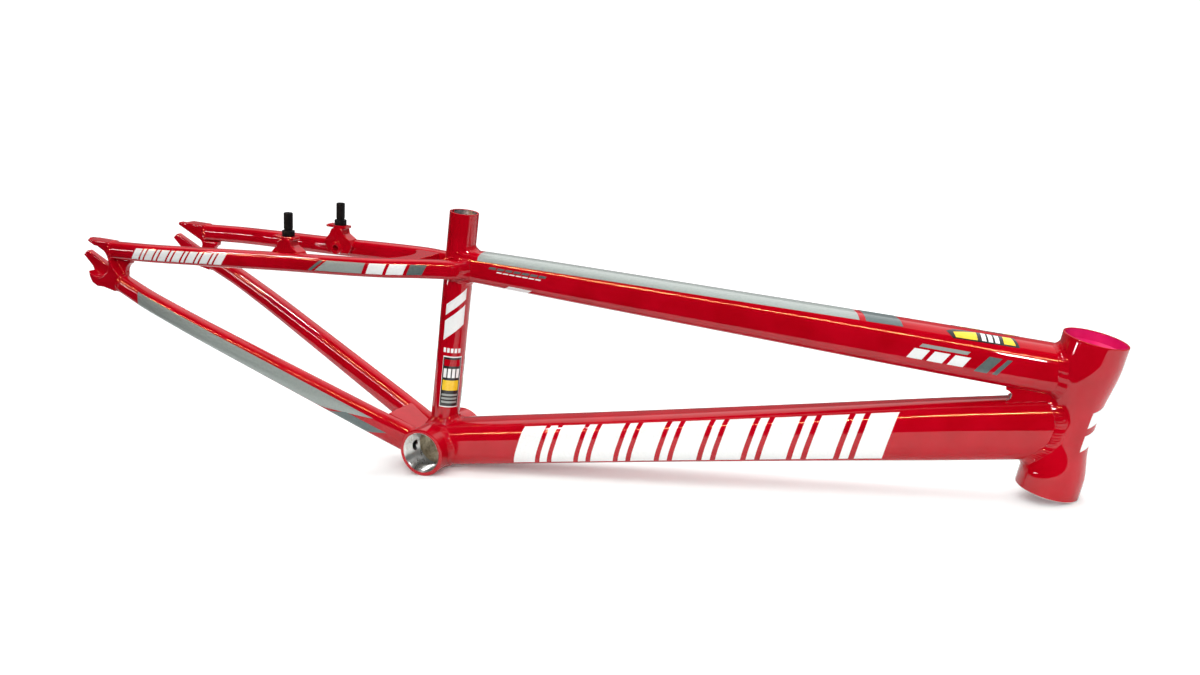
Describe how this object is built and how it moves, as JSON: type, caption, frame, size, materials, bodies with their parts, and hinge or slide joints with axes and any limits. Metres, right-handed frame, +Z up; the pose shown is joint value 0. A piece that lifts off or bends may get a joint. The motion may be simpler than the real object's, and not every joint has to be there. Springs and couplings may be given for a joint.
{
  "type": "bmx race frame",
  "caption": "Bare welded aluminium BMX race frame: shaped main tubes, flared head tube, threaded shell, box stays with slotted dropouts and rim brake studs. Glossy red.",
  "frame": {"origin": "centre of the bottom bracket shell, on its thread axis, half way between its two end faces", "axes": "+X forward towards the head tube, +Z up in the resting stance, +Y to the rider's left (the drive side is -Y). The frame rests on the shell's underside and the head tube's lower rim, pitched 32.96 degrees nose-down from its riding position."},
  "size_m": [0.914, 0.1404, 0.2413],
  "materials": {
    "red_paint": "gloss",
    "weld_paint": "gloss",
    "stud_black": "satin",
    "bare_aluminium": "machined",
    "decal_white": "gloss",
    "decal_grey": "gloss",
    "decal_dark": "gloss",
    "decal_yellow": "gloss"
  },
  "bodies": {
    "root": {"head_tube": "red_paint", "top_tube": "red_paint", "down_tube": "red_paint", "seat_tube": "red_paint", "head_gusset": "red_paint", "chainstay_left": "red_paint", "chainstay_right": "red_paint", "seatstay_left": "red_paint", "seatstay_right": "red_paint", "dropout_left": "red_paint", "dropout_right": "red_paint", "chainstay_bridge": "red_paint", "seatstay_bridge": "red_paint", "brake_boss_left": "red_paint", "brake_boss_right": "red_paint", "bottom_bracket_shell": "red_paint", "brake_stud_left": "stud_black", "brake_stud_right": "stud_black", "top_tube_head_weld": "weld_paint", "down_tube_head_weld": "weld_paint", "top_tube_seat_weld": "weld_paint", "seatstay_seat_welds": "weld_paint", "down_tube_shell_weld": "weld_paint", "seat_tube_shell_weld": "weld_paint", "chainstay_shell_welds": "weld_paint", "dropout_welds_left": "weld_paint", "dropout_welds_right": "weld_paint"}
  },
  "joints": []
}
